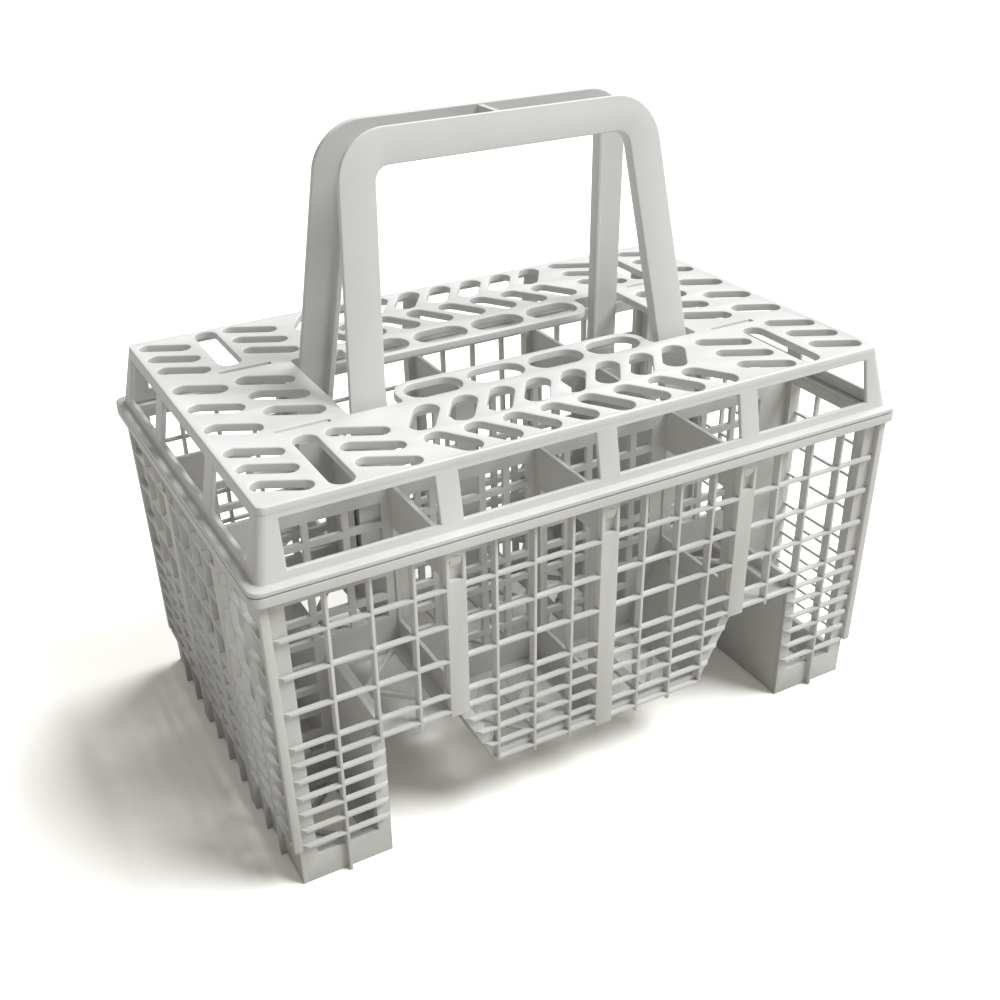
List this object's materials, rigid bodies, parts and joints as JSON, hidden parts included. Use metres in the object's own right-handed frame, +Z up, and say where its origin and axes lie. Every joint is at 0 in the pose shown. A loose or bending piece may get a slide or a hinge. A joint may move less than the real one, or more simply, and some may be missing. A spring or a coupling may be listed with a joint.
{
  "type": "dishwasher cutlery basket",
  "caption": "Rectangular dishwasher cutlery basket: lattice tub with a stepped underside, clipped cover with slots for single pieces of cutlery, and a carrying handle.",
  "frame": {"origin": "Middle of the footprint, on the surface that the two end feet stand on.", "axes": "+Z up, +X along the long side, +Y from the front long wall to the rear one."},
  "size_m": [0.24, 0.155, 0.2217],
  "materials": {
    "body_plastic": "light grey moulded polypropylene, satin",
    "cover_plastic": "light grey moulded polypropylene, satin",
    "handle_plastic": "light grey moulded polypropylene, satin"
  },
  "bodies": {
    "root": {"basket_body": "body_plastic", "top_cover": "cover_plastic", "handle": "handle_plastic"}
  },
  "joints": []
}
